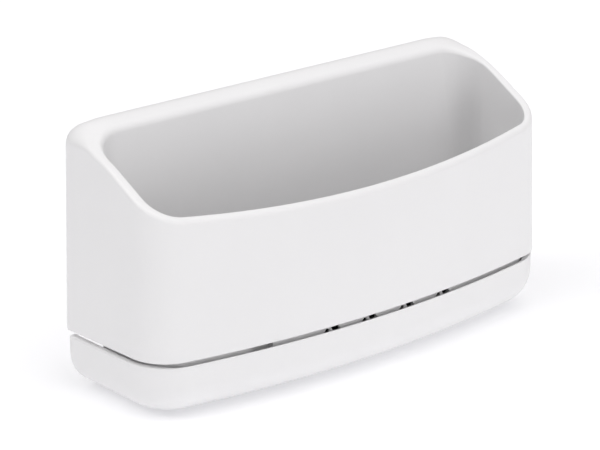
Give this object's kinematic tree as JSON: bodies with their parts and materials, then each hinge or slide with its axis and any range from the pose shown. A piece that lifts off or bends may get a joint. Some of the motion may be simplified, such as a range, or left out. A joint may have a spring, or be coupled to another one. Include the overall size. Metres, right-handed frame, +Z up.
{
  "type": "sink caddy",
  "caption": "Sink caddy: a deep one-pocket sponge holder with a sloping rim and bowed front, over a lift-out drain grate and a low drip tray on rubber feet.",
  "frame": {"origin": "on the ground under the middle of the object's bounding box", "axes": "+X to the right seen from the bowed front, -Y towards the front, +Z up"},
  "size_m": [0.14, 0.047, 0.0721],
  "materials": {
    "white_plastic": "satin moulded",
    "black_plastic": "satin moulded",
    "grey_rubber": "matt"
  },
  "bodies": {
    "drip_tray": {"drip_tray": "white_plastic", "foot_front_left": "grey_rubber", "foot_front_right": "grey_rubber", "foot_back_left": "grey_rubber", "foot_back_right": "grey_rubber"},
    "holder": {"holder": "white_plastic"},
    "drain_grate": {"drain_grate": "black_plastic"}
  },
  "joints": [
    {"name": "holder_lift", "type": "slide", "parent": "drip_tray", "child": "holder", "axis": [0, 0, 1], "range_m": [0, 0.04]},
    {"name": "grate_lift", "type": "slide", "parent": "holder", "child": "drain_grate", "axis": [0, 0, 1], "range_m": [0, 0.065]}
  ]
}
